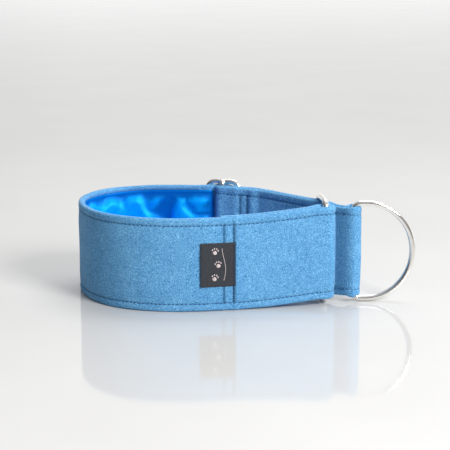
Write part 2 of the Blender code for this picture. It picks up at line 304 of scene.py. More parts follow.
def adjuster_crown():
    """Offset of the woven strap where it passes over the hem's fold."""
    radius = ADJUSTER_WIRE / 2.0 + LAYER_GAP + HEM_THICKNESS
    return middle_bar_offset() + radius + LEAF_GAP + CONTROL_THICKNESS


def control_places():
    """The whole plain strap, from the neck band's end to the hidden tail of the hem."""
    crown = adjuster_crown()
    places = []
    for reach in stations(-WOVEN_REACH, WOVEN_REACH):
        share = min(abs(reach) / (ADJUSTER_LENGTH / 2.0 - CROWN_INSET), 1.0)
        places.append((ADJUSTER_STATION + reach, crown * math.cos(share * math.pi / 2.0) ** 2))
    loop_start = LEASH_BAR_STATION - LEASH_LOOP_REACH
    places += [(s, 0.0) for s in stations(ADJUSTER_STATION + WOVEN_REACH, loop_start)[1:]]
    middle = -CONTROL_THICKNESS - LEAF_GAP / 2.0
    radius = RING_WIRE / 2.0 + LAYER_GAP + CONTROL_THICKNESS
    spread = radius + middle
    out = []
    for station in stations(loop_start, LEASH_BAR_STATION):
        out.append((station, spread * ease((station - loop_start) / LEASH_LOOP_REACH)))
    places += out[1:-1]
    places += arc((LEASH_BAR_STATION, middle), radius, 90.0, -90.0, FOLD_STEPS)
    places += [(s, 2.0 * middle - n) for s, n in reversed(out[1:-1])]
    flat = -2.0 * CONTROL_THICKNESS - LEAF_GAP
    hem_end = ADJUSTER_STATION + HEM_REACH
    for station in stations(loop_start, hem_end):
        rise = 1.0 - ease((station - hem_end - 1.5) / HEM_STEP)
        places.append((station, flat - (HEM_THICKNESS + LAYER_GAP) * rise))
    return places + hem_places()


def hem_places():
    """Suede face of the hem: neck-side leaf, fold round the middle bar, hidden tail."""
    middle = middle_bar_offset()
    radius = ADJUSTER_WIRE / 2.0 + LAYER_GAP + HEM_THICKNESS
    half = HEM_THICKNESS + LAYER_GAP / 2.0
    deep = -CONTROL_THICKNESS - LEAF_GAP - HEM_THICKNESS - LAYER_GAP / 2.0
    neck_side = []
    tail = []
    for reach in stations(0.0, HEM_REACH)[1:]:
        center = middle + (deep - middle) * ease(reach / HEM_EASE)
        spread = radius + (half - radius) * ease(reach / (0.8 * HEM_EASE))
        neck_side.append((ADJUSTER_STATION + reach, center - spread))
        tail.append((ADJUSTER_STATION + reach, center + spread))
    fold = arc((ADJUSTER_STATION, middle), radius, 270.0, 90.0, FOLD_STEPS)
    return neck_side[-2::-1] + fold + tail


# ---------------- relief of sewn suede


def sewn_relief(run, height, seed):
    """How far sewn suede stands out of its flat face: grooves at the stitches, soft between."""
    away = min(height, BAND_WIDTH - height) - STITCH_INSET
    tight = 1.0 + 0.45 * math.cos(2.0 * math.pi * run / STITCH_PITCH)
    groove = -0.3 * tight * bump_at(away, 0.6)
    pillow = 0.25 * ease(away / 8.0) if away > 0.0 else 0.12 * ease(-away / 1.5)
    wave = 0.26 * noise.noise(Vector((run / 19.0, height / 15.0, seed)))
    ripple = 0.09 * noise.noise(Vector((run / 5.0, height / 6.0, seed + 7.0)))
    return groove + pillow + wave + ripple


def cross_seam(run, seam, height, depth=0.4, width=0.6):
    """Groove of a seam across the strap, which ends at the edge stitching."""
    inside = ease((min(height, BAND_WIDTH - height) - STITCH_INSET + 1.0) / 1.2)
    tight = 1.0 + 0.4 * math.cos(2.0 * math.pi * height / STITCH_PITCH)
    return -depth * tight * bump_at(run - seam, width) * inside


# ---------------- solids


def strap_heights(edge):
    """Heights across a face, close together at the two edge seams."""
    near = [edge, 1.9, 2.7, 3.2, 3.6, 3.8, 4.0, 4.2, 4.4, 4.8, 5.4, 6.3]
    low = near + [7.6 + 1.3 * i for i in range(14)]
    return low + [BAND_WIDTH - h for h in reversed(low)]


def strap_section(thickness, seat=0.0):
    """Closed outline of a strap: (depth, height, normal's depth, normal's height).

    The back is sunk by the seat between the edges.
    """
    edge = min(thickness / 2.0 - 0.02, 1.35)
    top = BAND_WIDTH
    outline = [(0.0, h, -1.0, 0.0) for h in strap_heights(edge)]

    def corner(depth, height, start, end):
        for i in range(1, 5):
            angle = math.radians(start + (end - start) * i / 5.0)
            out = (math.cos(angle), math.sin(angle))
            outline.append((depth + edge * out[0], height + edge * out[1], *out))

    corner(edge, top - edge, 180.0, 90.0)
    outline.append((thickness / 2.0, top, 0.0, 1.0))
    corner(thickness - edge, top - edge, 90.0, 0.0)
    for h in reversed(strap_heights(edge)):
        sunk = seat * ease((min(h, top - h) - 1.9) / 0.8)
        outline.append((thickness - sunk, h, 1.0, 0.0))
    corner(thickness - edge, edge, 0.0, -90.0)
    outline.append((thickness / 2.0, 0.0, 0.0, -1.0))
    corner(edge, edge, -90.0, -180.0)
    return outline


def new_piece(name, mesh, paint):
    """A piece of the visual model."""
    piece = bpy.data.objects.new(name, mesh)
    bpy.context.scene.collection.objects.link(piece)
    mesh.materials.append(paint)
    return piece


def mesh_of(name, shape, sharp=60.0):
    """The finished mesh of a shape, smooth but for edges sharper than an angle in degrees."""
    bmesh.ops.recalc_face_normals(shape, faces=shape.faces)
    mesh = bpy.data.meshes.new(name)
    shape.to_mesh(mesh)
    shape.free()
    mesh.shade_smooth()
    mesh.set_sharp_from_angle(angle=math.radians(sharp))
    return mesh


def thread_piece(name, shape, paint):
    """A piece made of stitches."""
    return new_piece(name, mesh_of(name, shape), paint)


def skin(shape, rings):
    """Faces round a row of rings of vertices, closed at both ends."""
    size = len(rings[0])
    for one, two in zip(rings, rings[1:]):
        for k in range(size):
            m = (k + 1) % size
            shape.faces.new((one[k], one[m], two[m], two[k]))
    shape.faces.new(rings[0])
    shape.faces.new(rings[-1])


def seam_shade(run, height, seams):
    """0 to 1: painted shade on the suede where stitches pull it in, with the cross seams' runs."""
    inside = min(height, BAND_WIDTH - height)
    tight = 0.75 + 0.25 * math.cos(2.0 * math.pi * run / STITCH_PITCH)
    shade = 0.6 * tight * bump_at(inside - STITCH_INSET, 0.36)
    for seam in seams:
        shade = max(shade, bump_at(run - seam, 0.7) * ease((inside - STITCH_INSET + 0.8) / 0.8))
    return shade


def sweep(name, strap, section, relief, seams, sway, seed):
    """A strap's solid. relief(run, station, height) lifts its suede face outwards.

    The sway is how far the strap's edges wander up and down.
    """
    shape = bmesh.new()
    along = shape.verts.layers.float.new("station")
    painted_shade_layer = shape.verts.layers.float.new("seam")
    rings = []
    for row, run in enumerate(strap.runs):
        ring = []
        station = strap.stations[row]
        drift = sway * noise.noise(Vector((run / 23.0, seed, 3.0)))
        for depth, height, out_depth, out_height in section:
            lift = relief(run, station, height) if out_depth < 0.0 else 0.0
            if out_depth > 0.5:
                lift = 0.3 * relief(run + 40.0, station, height)
            where = strap.place(row, depth + lift * out_depth, height + drift + lift * out_height)
            vertex = shape.verts.new(where)
            vertex[along] = station
            # Painted shade: darker along the stitch rows, the cross seams and the leash loop's
            # valley
            if abs(out_depth) > 0.5:
                painted_valley_shade = LOOP_SHADE * bump_at(station - LOOP_VALLEY, LOOP_SHADE_WIDTH)
                sewn = seam_shade(run, height, seams if out_depth < 0.0 else ())
                vertex[painted_shade_layer] = max(painted_valley_shade, sewn)
            ring.append(vertex)
        rings.append(ring)
    skin(shape, rings)
    return mesh_of(name, shape)


def cut_mesh(mesh, name, keep):
    """The faces of a mesh that keep() chooses by their station, with the whole mesh's normals."""
    values = [item.value for item in mesh.attributes["station"].data]
    normals = [Vector(v.normal) for v in mesh.vertices]
    used = {}
    faces = []
    for polygon in mesh.polygons:
        middle = sum(values[v] for v in polygon.vertices) / len(polygon.vertices)
        if keep(middle):
            faces.append([used.setdefault(v, len(used)) for v in polygon.vertices])
    part = bpy.data.meshes.new(name)
    order = sorted(used, key=used.get)
    part.from_pydata([mesh.vertices[v].co[:] for v in order], [], faces)
    # The "seam" attribute holds painted shade
    if "seam" in mesh.attributes:
        shades = [item.value for item in mesh.attributes["seam"].data]
        kept = part.attributes.new("seam", "FLOAT", "POINT")
        kept.data.foreach_set("value", [shades[v] for v in order])
    part.shade_smooth()
    part.normals_split_custom_set_from_vertices([normals[v] for v in order])
    return part


def stitch(shape, start, end, out, radius, sink):
    """One stitch: a short thread that rises out of one hole and goes down into the next."""
    along = end - start
    side = along.cross(out).normalized()
    steps = 6
    rings = []
    for i in range(steps + 1):
        share = i / steps
        arch = math.sin(math.pi * share) ** 0.7
        middle = start + along * share + out * (arch * (radius * 0.7 + sink) - sink)
        size = radius * (0.55 + 0.45 * math.sin(math.pi * share) ** 0.5)
        ring = []
        for k in range(6):
            angle = math.pi * k / 3.0
            outwards = side * math.cos(angle) + out * math.sin(angle)
            ring.append(shape.verts.new(middle + outwards * size))
        rings.append(ring)
    skin(shape, rings)


def stitch_spans(first, last, gap):
    """Start and end of every stitch of a row between two places."""
    index = math.ceil(first / STITCH_PITCH + 0.5)
    while (index + 0.5) * STITCH_PITCH <= last:
        yield (index - 0.5) * STITCH_PITCH + gap, (index + 0.5) * STITCH_PITCH - gap
        index += 1


def edge_rows(shape, strap, first, last, relief):
    """The two rows of stitches along a strap, between two runs."""
    for height in EDGE_SEAMS:
        for a, b in stitch_spans(first, last, gap=0.4):
            middle = (a + b) / 2.0
            lift = relief(middle, 0.0, height)
            start = strap.spot(a, -lift, height)
            end = strap.spot(b, -lift, height)
            out = strap.spot(middle, -1.0, height) - strap.spot(middle, 0.0, height)
            stitch(shape, start, end, out.normalized(), 0.26 * MM, STITCH_SINK)


def cross_row(shape, strap, run, relief, radius=0.21):
    """A row of stitches across a strap."""
    out = (strap.spot(run, -1.0, 25.0) - strap.spot(run, 0.0, 25.0)).normalized()
    for a, b in stitch_spans(*EDGE_SEAMS, gap=0.25):
        lift = relief(run, 0.0, (a + b) / 2.0)
        start = strap.spot(run, -lift, a)
        end = strap.spot(run, -lift, b)
        stitch(shape, start, end, out, radius * MM, STITCH_SINK)


# ---------------- materials


def node(tree, kind, inputs=None, **settings):
    """A shader node with its inputs' values and its settings."""
    made = tree.nodes.new(kind)
    for key, value in settings.items():
        setattr(made, key, value)
    for key, value in (inputs or {}).items():
        made.inputs[key].default_value = value
    return made


def link(tree, source, target):
    tree.links.new(source, target)


def paint(name, inputs):
    """A material, its node tree, and its Principled shader with the given inputs set."""
    made = bpy.data.materials.new(name)
    made.use_nodes = True
    shader = made.node_tree.nodes["Principled BSDF"]
    for key, value in inputs.items():
        shader.inputs[key].default_value = value
    return made, made.node_tree, shader


def millimetres(tree):
    """Object coordinates in millimetres."""
    place = node(tree, "ShaderNodeTexCoord")
    scale = node(tree, "ShaderNodeMapping")
    scale.inputs["Scale"].default_value = (1000.0, 1000.0, 1000.0)
    link(tree, place.outputs["Object"], scale.inputs["Vector"])
    return scale.outputs["Vector"]


def noise_node(tree, where, scale, detail, roughness):
    inputs = {"Scale": scale, "Detail": detail, "Roughness": roughness}
    made = node(tree, "ShaderNodeTexNoise", inputs)
    link(tree, where, made.inputs["Vector"])
    return made.outputs["Fac"]


def wave_node(tree, where, scale, distortion, direction):
    inputs = {"Scale": scale, "Distortion": distortion, "Detail": 1.0}
    made = node(tree, "ShaderNodeTexWave", inputs, bands_direction=direction)
    link(tree, where, made.inputs["Vector"])
    return made.outputs["Fac"]


def map_range(tree, value, source, target=(0.0, 1.0), **settings):
    """A value carried from one range into another."""
    inputs = dict(zip(("From Min", "From Max", "To Min", "To Max"), (*source, *target)))
    made = node(tree, "ShaderNodeMapRange", inputs, **settings)
    link(tree, value, made.inputs["Value"])
    return made.outputs["Result"]


def ramp(tree, value, stops):
    """Colours along a value, given as (position, colour)."""
    made = node(tree, "ShaderNodeValToRGB")
    items = made.color_ramp.elements
    while len(items) < len(stops):
        items.new(0.5)
    for item, (position, color) in zip(items, stops):
        item.position = position
        item.color = (*color, 1.0)
    link(tree, value, made.inputs["Fac"])
    return made.outputs["Color"]


def feed(tree, socket, value):
    """Give a socket a number, a colour, or another socket's output."""
    if isinstance(value, (int, float)):
        socket.default_value = value
    elif isinstance(value, tuple):
        socket.default_value = (*value, 1.0)
    else:
        link(tree, value, socket)


def mix(tree, share, a, b, blend="MIX"):
    made = node(tree, "ShaderNodeMix", data_type="RGBA", blend_type=blend)
    for value, index in ((share, 0), (a, 6), (b, 7)):
        feed(tree, made.inputs[index], value)
    return made.outputs[2]


def maths(tree, operation, a, b):
    made = node(tree, "ShaderNodeMath", operation=operation)
    feed(tree, made.inputs[0], a)
    feed(tree, made.inputs[1], b)
    return made.outputs[0]


def weighted(tree, a, share_a, b, share_b):
    """The sum of two values, each by its share."""
    first = maths(tree, "MULTIPLY", a, share_a)
    return maths(tree, "ADD", first, maths(tree, "MULTIPLY", b, share_b))


def darkened_by_painted_shade(tree, color, depth, dark):
    """A colour that goes over into a dark one where the "seam" attribute, which holds painted
    shade, is high.
    """
    seam = node(tree, "ShaderNodeAttribute", attribute_name="seam")
    shade = maths(tree, "MULTIPLY", seam.outputs["Fac"], depth)
    return mix(tree, shade, color, dark)


def bump(tree, shader, height, strength, distance):
    made = node(tree, "ShaderNodeBump", {"Strength": strength, "Distance": distance})
    link(tree, height, made.inputs["Height"])
    link(tree, made.outputs["Normal"], shader.inputs["Normal"])


def suede_paint():
    """Napped faux suede: light and dark fibres, brushed patches, and painted shade at the seams
    and in the leash loop's valley.
    """
    made, tree, shader = paint("light_blue_suede", {
        "Roughness": 0.92,
        "Specular IOR Level": 0.15,
        "Sheen Weight": 0.22,
        "Sheen Roughness": 0.45,
        "Sheen Tint": (0.68, 0.86, 1.0, 1.0),
    })
    where = millimetres(tree)
    grain = noise_node(tree, where, 3.0, 2.0, 0.65)
    fibre = noise_node(tree, where, 8.0, 2.0, 0.6)
    brushed = noise_node(tree, where, 0.07, 2.0, 0.5)
    nap = weighted(tree, grain, 0.7, fibre, 0.3)
    fibres = (
        (0.39, (0.010, 0.080, 0.22)),
        (0.46, (0.058, 0.25, 0.54)),
        (0.52, (0.110, 0.37, 0.69)),
        (0.60, (0.34, 0.69, 0.95)),
    )
    patch = ramp(tree, brushed, ((0.35, (0.84, 0.89, 0.93)), (0.65, (1.0, 1.0, 1.0))))
    napped = mix(tree, 1.0, ramp(tree, nap, fibres), patch, "MULTIPLY")
    color = darkened_by_painted_shade(tree, napped, 0.8, (0.015, 0.085, 0.19))
    link(tree, color, shader.inputs["Base Color"])
    bump(tree, shader, nap, 0.6, 0.0004)
    return made


def satin_paint():
    """Azure satin: a tight weave whose gloss keeps the cloth's own colour, with painted shade in
    its valleys and along its tucked edges.
    """
    made, tree, shader = paint("azure_satin", {
        "Roughness": 0.52,
        "Specular IOR Level": 0.1,
        "Metallic": 0.3,
        "Anisotropic": 0.4,
        "Sheen Weight": 0.15,
        "Sheen Roughness": 0.3,
        "Sheen Tint": (0.0, 0.42, 1.0, 1.0),
    })
    where = millimetres(tree)
    slub = noise_node(tree, where, 0.5, 3.0, 0.6)
    weave = noise_node(tree, where, 6.0, 1.0, 0.5)
    woven = ramp(tree, slub, ((0.3, (0.0, 0.30, 0.95)), (0.7, (0.0, 0.40, 1.0))))
    color = darkened_by_painted_shade(tree, woven, 0.68, (0.0, 0.05, 0.34))
    link(tree, color, shader.inputs["Base Color"])
    rough = map_range(tree, slub, (0.3, 0.7), (0.48, 0.6))
    link(tree, rough, shader.inputs["Roughness"])
    bump(tree, shader, weave, 0.12, 0.0001)
    return made


def thread_paint(name, dark, light):
    """Twisted sewing thread."""
    made, tree, shader = paint(name, {
        "Roughness": 0.66, "Specular IOR Level": 0.2, "Sheen Weight": 0.06,
    })
    ply = wave_node(tree, millimetres(tree), 1.6, 1.2, "DIAGONAL")
    link(tree, ramp(tree, ply, ((0.1, dark), (0.9, light))), shader.inputs["Base Color"])
    bump(tree, shader, ply, 0.5, 0.0001)
    return made


def label_paint():
    """Charcoal damask label: fine weft ribs crossed by warp."""
    made, tree, shader = paint("charcoal_label", {
        "Roughness": 0.7, "Specular IOR Level": 0.3, "Sheen Weight": 0.15,
    })
    place = node(tree, "ShaderNodeUVMap", uv_map="face").outputs["UV"]
    ribs = wave_node(tree, place, 1.3, 0.6, "Y")
    warp = wave_node(tree, place, 0.9, 0.6, "X")
    worn = noise_node(tree, place, 0.9, 4.0, 0.7)
    value = weighted(tree, maths(tree, "MULTIPLY", ribs, warp), 0.45, worn, 0.55)
    greys = (
        (0.2, (0.014, 0.016, 0.022)),
        (0.5, (0.034, 0.040, 0.050)),
        (0.75, (0.085, 0.088, 0.1)),
    )
    link(tree, ramp(tree, value, greys), shader.inputs["Base Color"])
    bump(tree, shader, value, 0.6, 0.00015)
    return made


def metal_paint():
    """Polished nickel plate over round wire, with faint drawing marks."""
    made, tree, shader = paint("polished_nickel", {"Roughness": 0.12, "Metallic": 1.0})
    where = millimetres(tree)
    cloud = noise_node(tree, where, 0.35, 4.0, 0.6)
    marks = noise_node(tree, where, 5.0, 3.0, 0.7)
    plate = ramp(tree, cloud, ((0.3, (0.86, 0.83, 0.79)), (0.7, (0.93, 0.92, 0.9))))
    link(tree, plate, shader.inputs["Base Color"])
    rough = map_range(tree, cloud, (0.3, 0.7), (0.09, 0.17))
    link(tree, rough, shader.inputs["Roughness"])
    bump(tree, shader, marks, 0.05, 0.00005)
    return made


def floor_paint():
    """Glossy white table top, very slightly clouded."""
    made, tree, shader = paint("glossy_white_table", {"Roughness": 0.07})
    cloud = noise_node(tree, millimetres(tree), 0.01, 3.0, 0.5)
    white = ramp(tree, cloud, ((0.3, (0.60, 0.595, 0.585)), (0.7, (0.63, 0.625, 0.615))))
    link(tree, white, shader.inputs["Base Color"])
    return made


# ---------------- camera, floor and light


def camera():
    """The photo's view, a little from above, fitted."""
    data = bpy.data.cameras.new("camera")
    data.lens = 117.7
    data.sensor_width = 36.0
    data.clip_start = 0.01
    made = bpy.data.objects.new("camera", data)
    made.location = (-0.0105, -0.7816, 0.2180)
    made.rotation_euler = (math.radians(77.0), 0.0, 0.0)
    bpy.context.scene.collection.objects.link(made)
    bpy.context.scene.camera = made


def area_light(name, location, target, size, power, color):
    data = bpy.data.lights.new(name, "AREA")
    data.shape = "RECTANGLE"
    data.size, data.size_y = size
    data.energy = power
    data.color = color
    made = bpy.data.objects.new(name, data)
    made.location = location
    made.rotation_euler = (Vector(target) - Vector(location)).to_track_quat("-Z", "Y").to_euler()
    bpy.context.scene.collection.objects.link(made)


def table():
    """The table top, just under the collar."""
    mesh = bpy.data.meshes.new("table")
    shape = bmesh.new()
    bmesh.ops.create_circle(shape, cap_ends=True, segments=96, radius=4.0)
    shape.to_mesh(mesh)
    shape.free()
    made = bpy.data.objects.new("table", mesh)
    made.location = (0.0, 0.0, -0.0001)
    bpy.context.scene.collection.objects.link(made)
    mesh.materials.append(floor_paint())


def surroundings():
    """A white wall behind the collar, a darker room behind the camera, and a dim left side."""
    world = bpy.data.worlds.new("studio")
    bpy.context.scene.world = world
    world.use_nodes = True
    tree = world.node_tree
    place = node(tree, "ShaderNodeTexCoord")
    split = node(tree, "ShaderNodeSeparateXYZ")
    link(tree, place.outputs["Generated"], split.inputs["Vector"])
    right, back, up = split.outputs
    wall = ((0.0, (1.0, 1.0, 1.0)), (0.16, (0.86, 0.86, 0.85)), (0.4, (0.95, 0.96, 0.97)))
    room = ((0.0, (0.16, 0.14, 0.13)), (0.3, (0.30, 0.30, 0.31)), (0.9, (0.62, 0.63, 0.65)))
    behind = map_range(tree, back, (-0.2, 0.5), interpolation_type="SMOOTHSTEP")
    both = mix(tree, behind, ramp(tree, up, room), ramp(tree, up, wall))
    side = map_range(tree, right, (-0.9, -0.1), (0.25, 1.0))
    horizon = map_range(tree, up, (0.04, 0.16), (1.4, 1.0))
    background = tree.nodes["Background"]
    link(tree, both, background.inputs["Color"])
    link(tree, maths(tree, "MULTIPLY", side, horizon), background.inputs["Strength"])


def studio():
    bpy.context.scene.view_settings.view_transform = "Standard"
    table()
    surroundings()
    area_light(
        "key", location=(0.72, -0.8, 0.72), target=(0.0, 0.0, 0.03),
        size=(0.45, 0.45), power=17.5, color=(1.0, 0.99, 0.97),
    )
    area_light(
        "top", location=(0.2, 0.25, 1.0), target=(0.0, 0.0, 0.0),
        size=(0.7, 0.5), power=3.5, color=(1.0, 1.0, 1.0),
    )


# ---------------- the straps


def build_ring_end(paints):
    strap = Strap(ring_end_places())
    back_right = strap.run_at(SEAM_RIGHT)
    back_left = strap.run_at(SEAM_LEFT)

    def relief(run, station, height):
        lift = sewn_relief(run, height, 1.0)
        lift += cross_seam(run, back_right, height) + cross_seam(run, back_left, height)
        lift += cross_seam(run, strap.length, height, 0.6, 0.8)
        lift += 0.3 * ease((run - strap.length + 6.0) / 4.0)
        return lift

    seams = (back_right, back_left, strap.length)
    section = strap_section(RING_END_THICKNESS)
    mesh = sweep("ring_end_suede", strap, section, relief, seams, sway=0.25, seed=1.0)
    piece = new_piece("ring_end_suede", mesh, paints["suede"])
    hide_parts("ring_end_cover", "ring_end_webbing")
    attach(piece, "neck_band")
    shape = bmesh.new()
    edge_rows(shape, strap, 0.5, strap.length - 0.5, relief)
    cross_row(shape, strap, back_right, relief)
    cross_row(shape, strap, back_left, relief)
    cross_row(shape, strap, strap.length, relief, 0.34)
    threads = thread_piece("ring_end_stitches", shape, paints["thread"])
    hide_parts("ring_end_seam_right")
    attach(threads, "neck_band")


def strap_points(places):
    """World points of the strap's line at some stations."""
    return [plan_point(station, 0.0).to_3d() * MM for station in places]


def blend_neck(piece, end):
    """A neck band piece, the long stretch or its last one beside the adjuster, with its transform
    baked into its mesh.
    """
    if end:
        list(strap_points(NECK_END_BLEND))
        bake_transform(piece)
    else:
        first, last = (Vector((0.0, y * MM, 0.0)) for y in NECK_BLEND)
        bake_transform(piece)
        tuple(first)
        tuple(last)


def build_neck(paints):
    strap = Strap([(s, 0.0) for s in stations(SEAM_RIGHT, NECK_END)])
    left_seam = SEAM_LEFT - SEAM_RIGHT

    def relief(run, station, height):
        lift = sewn_relief(run, height, 2.0)
        return lift + cross_seam(run, 0.0, height, 0.6, 0.8) + cross_seam(run, left_seam, height)

    section = strap_section(NECK_THICKNESS, seat=0.9)
    seams = (0.0, left_seam)
    whole = sweep("neck_suede_whole", strap, section, relief, seams, sway=0.25, seed=2.0)
    for name, end in (("neck_suede", False), ("neck_suede_end", True)):
        mesh = cut_mesh(whole, name, lambda s: (s > NECK_CUT) == end)
        piece = new_piece(name, mesh, paints["suede"])
        if not end:
            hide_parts("neck_cover", "neck_webbing", "neck_padding")
        blend_neck(piece, end)
    cut_run = strap.run_at(NECK_CUT)
    for name, first, last, end in (
        ("neck_stitches", 1.0, cut_run, False),
        ("neck_stitches_end", cut_run, strap.length - 0.5, True),
    ):
        shape = bmesh.new()
        edge_rows(shape, strap, first, last, relief)
        if not end:
            cross_row(shape, strap, left_seam, relief, 0.27)
        piece = thread_piece(name, shape, paints["thread"])
        if not end:
            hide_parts("edge_stitch_lower", "edge_stitch_upper", "ring_end_seam_left")
        blend_neck(piece, end)


def build_control(paints):
    strap = Strap(control_places(), CONTROL_ROW_SPACING)
    way_back = strap.length * 0.6
    seams = [strap.run_at(ADJUSTER_STATION + reach, way_back) for reach in reversed(HEM_SEAMS)]

    def relief(run, station, height):
        lift = 0.8 * sewn_relief(run, height, 5.0)
        bulge = LOOP_BULGE_HEIGHT * bump_at(station - LEASH_BAR_STATION, LOOP_BULGE_WIDTH)
        valley = LOOP_VALLEY_DEPTH * bump_at(station - LOOP_VALLEY, LOOP_VALLEY_WIDTH)
        lift += bulge - valley
        return lift + sum(cross_seam(run, seam, height) for seam in seams)

    section = strap_section(CONTROL_THICKNESS)
    mesh = sweep("control_suede", strap, section, relief, seams, sway=0.2, seed=5.0)
    piece = new_piece("control_suede", mesh, paints["suede"])
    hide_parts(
        "woven_cover", "woven_webbing", "control_outer_cover", "control_outer_webbing",
        "leash_loop_cover", "leash_loop_webbing", "control_inner_cover", "control_inner_webbing",
        "hem_cover", "hem_webbing",
    )
    shape = bmesh.new()
    hem = HEM_REACH - 2.0
    hem_run = strap.run_at(ADJUSTER_STATION + hem, way_back)
    edge_rows(shape, strap, 0.5, hem_run + hem, relief)
    for seam in seams:
        cross_row(shape, strap, seam, relief, 0.26)
    threads = thread_piece("control_stitches", shape, paints["thread"])
    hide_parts("hem_seam_left", "hem_seam_right")
    for part in (piece, threads):
        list(strap_points(CONTROL_BLEND))
        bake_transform(part)


# ---------------- the satin lining

# Where the satin lies, how it puffs up and below which loft painted shade falls in its valleys,
# and (depth, height) of its tucked edge, with the painted shade along it
LINING_FIRST = 58.6
LINING_LAST = ADJUSTER_STATION - 4.7
LINING_SEAM = 4.4
LINING_SEAT = NECK_THICKNESS - 0.95
LINING_LOFT = 3.3
LOFT_SOFTNESS = 1.9
LOFT_EDGE = 5.5
LOFT_SHADED = 1.5
TUCK = ((-0.5, 2.2), (0.0, 2.5), (0.32, 3.1), (0.3, 3.8))
TUCK_SHADE = 0.8
PUFF_COLUMNS = 132
PUFF_ROWS = 30
SETTLE_FRAMES = 30


def puffed(width, height):
    """A gathered sheet, sewn down on all sides and puffed up, as cloth settles it.

    It settles at ten times its size.
    """
    scale = 10.0 * MM
    shape = bmesh.new()
    verts = []
    for i in range(PUFF_COLUMNS + 1):
        for j in range(PUFF_ROWS + 1):
            x = width * i / PUFF_COLUMNS
            y = height * j / PUFF_ROWS
            z = 1.5 * noise.noise(Vector((x / 11.0, y / 40.0, 11.0)))
            verts.append(shape.verts.new(Vector((x, y, z)) * scale))
    for i in range(PUFF_COLUMNS):
        for j in range(PUFF_ROWS):
            k = i * (PUFF_ROWS + 1) + j
            m = k + PUFF_ROWS + 1
            shape.faces.new((verts[k], verts[m], verts[m + 1], verts[k + 1]))
    mesh = bpy.data.meshes.new("puff")
    shape.to_mesh(mesh)
    shape.free()
    sheet = bpy.data.objects.new("puff", mesh)
    bpy.context.scene.collection.objects.link(sheet)
    pins = sheet.vertex_groups.new(name="pins")
    border = []
    for i in range(PUFF_COLUMNS + 1):
        for j in range(PUFF_ROWS + 1):
            if i in (0, PUFF_COLUMNS) or j in (0, PUFF_ROWS):
                border.append(i * (PUFF_ROWS + 1) + j)
    pins.add(border, 1.0, "REPLACE")
    cloth = sheet.modifiers.new("cloth", "CLOTH")
    settings = cloth.settings
    settings.vertex_group_mass = "pins"
    settings.quality = 6
    settings.mass = 0.2
    settings.tension_stiffness = 12.0
    settings.compression_stiffness = 12.0
    settings.shear_stiffness = 4.0
    settings.bending_stiffness = 3.5
    settings.shrink_min = -0.13
    settings.use_pressure = True
    settings.uniform_pressure_force = 1.4
    settings.effector_weights.gravity = 0.0
    cloth.collision_settings.use_collision = False
    cloth.point_cache.frame_start = 1
    cloth.point_cache.frame_end = SETTLE_FRAMES + 10
    scene = bpy.context.scene
    for step in range(1, SETTLE_FRAMES + 1):
        scene.frame_set(step)
    settled = sheet.evaluated_get(bpy.context.evaluated_depsgraph_get())
    spots = [vertex.co / scale for vertex in settled.data.vertices]
    scene.frame_set(1)
    bpy.data.objects.remove(sheet)
    bpy.data.meshes.remove(mesh)
    return spots


def lining_depth(station):
    """Depth of the lining's back: seated in the neck band, then lying along the woven strap."""
    reach = min((ADJUSTER_STATION - station) / (ADJUSTER_LENGTH / 2.0 - CROWN_INSET), 1.0)
    rise = adjuster_crown() * math.cos(reach * math.pi / 2.0) ** 2
    past = ease((station - NECK_END + 5.0) / 9.0)
    return (LINING_SEAT + 0.35) * (1.0 - past) + (CONTROL_THICKNESS + 0.3 - 0.7 * rise) * past


def build_lining(paints):
    width = LINING_LAST - LINING_FIRST
    height = BAND_WIDTH - 2.0 * LINING_SEAM
    spots = puffed(width, height)
    shape = bmesh.new()
    along = shape.verts.layers.float.new("station")
    painted_fold_shade_layer = shape.verts.layers.float.new("seam")
    columns = []
    for i in range(PUFF_COLUMNS + 1):
        rest_station = LINING_FIRST + width * i / PUFF_COLUMNS
        across = min(i, PUFF_COLUMNS - i) * width / PUFF_COLUMNS
        tuck = lining_depth(rest_station)
        # Painted shade along the tucked edges, under the suede's rim
        low = [(rest_station, tuck + sunk, h, TUCK_SHADE) for sunk, h in TUCK]
        high = [(s, depth, BAND_WIDTH - h, shade) for s, depth, h, shade in reversed(low)]
        puff = []
        for j in range(PUFF_ROWS + 1):
            spot = spots[i * (PUFF_ROWS + 1) + j]
            station = LINING_FIRST + spot.x
            inside = min(across, min(j, PUFF_ROWS - j) * height / PUFF_ROWS)
            squeezed = 0.5 + 0.5 * math.tanh(spot.z / LOFT_SOFTNESS)
            rise = LINING_LOFT * squeezed * ease(inside / LOFT_EDGE)
            # Painted shade: the lower the satin lies in a valley, the darker
            valley = ease(1.08 - rise / LOFT_SHADED)
            puff.append((station, lining_depth(station) + rise, LINING_SEAM + spot.y, valley))
        column = []
        for station, depth, level, shade in low + puff + high:
            vertex = shape.verts.new(world_point(station, -depth, level))
            vertex[along] = rest_station
            vertex[painted_fold_shade_layer] = shade
            column.append(vertex)
        columns.append(column)
    skin(shape, columns)
    coarse = bpy.data.objects.new("lining_whole", mesh_of("lining_whole", shape))
    bpy.context.scene.collection.objects.link(coarse)
    smooth = coarse.modifiers.new("smooth", "SUBSURF")
    smooth.levels = 1
    bpy.context.view_layer.update()
    smoothed = coarse.evaluated_get(bpy.context.evaluated_depsgraph_get())
    whole = bpy.data.meshes.new_from_object(smoothed)
    bpy.data.objects.remove(coarse)
    for name, end in (("satin_lining", False), ("satin_lining_end", True)):
        mesh = cut_mesh(whole, name, lambda s: (s > NECK_CUT) == end)
        piece = new_piece(name, mesh, paints["satin"])
        if not end:
            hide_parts("neck_lining")
        blend_neck(piece, end)


# ---------------- the label

LABEL_STATIONS = (54.4, 73.0)
LABEL_HEIGHTS = (13.4, 36.9)
# Offsets of its two faces and of the thread on it
LABEL_BACK = 0.35
LABEL_FACE = 0.85
LABEL_THREAD = 0.9


